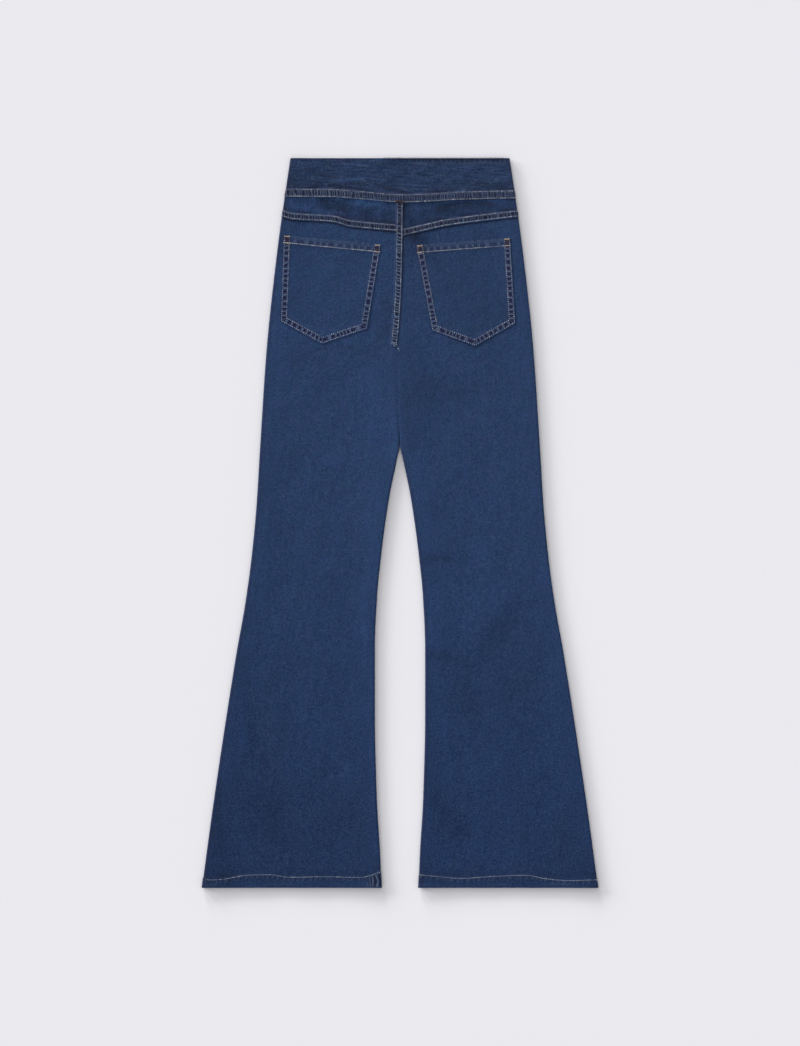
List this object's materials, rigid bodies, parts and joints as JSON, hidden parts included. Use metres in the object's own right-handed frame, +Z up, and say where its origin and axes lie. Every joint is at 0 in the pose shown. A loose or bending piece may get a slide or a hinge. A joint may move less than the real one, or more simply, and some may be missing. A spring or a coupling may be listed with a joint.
{
  "type": "bootcut jeggings",
  "caption": "Pull-on bootcut jeggings laid flat with the back up: elasticated waistband, V yoke, patch pockets, flared legs.",
  "frame": {"origin": "on the surface the garment lies on, under the middle of its outline", "axes": "+Y towards the waist, +X to the wearer's right, +Z up from the surface"},
  "size_m": [0.57, 1.05, 0.0069],
  "materials": {
    "denim": "indigo stretch denim",
    "waistband": "indigo stretch denim",
    "thread": "topstitch thread",
    "bartack": "dense tan stitching"
  },
  "bodies": {
    "root": {"waistband_back": "waistband", "waistband_front": "waistband", "back_yoke_left": "denim", "back_yoke_right": "denim", "back_leg_left": "denim", "back_leg_right": "denim", "front_leg_left": "denim", "front_leg_right": "denim", "back_pocket_left": "denim", "back_pocket_right": "denim"}
  },
  "joints": []
}
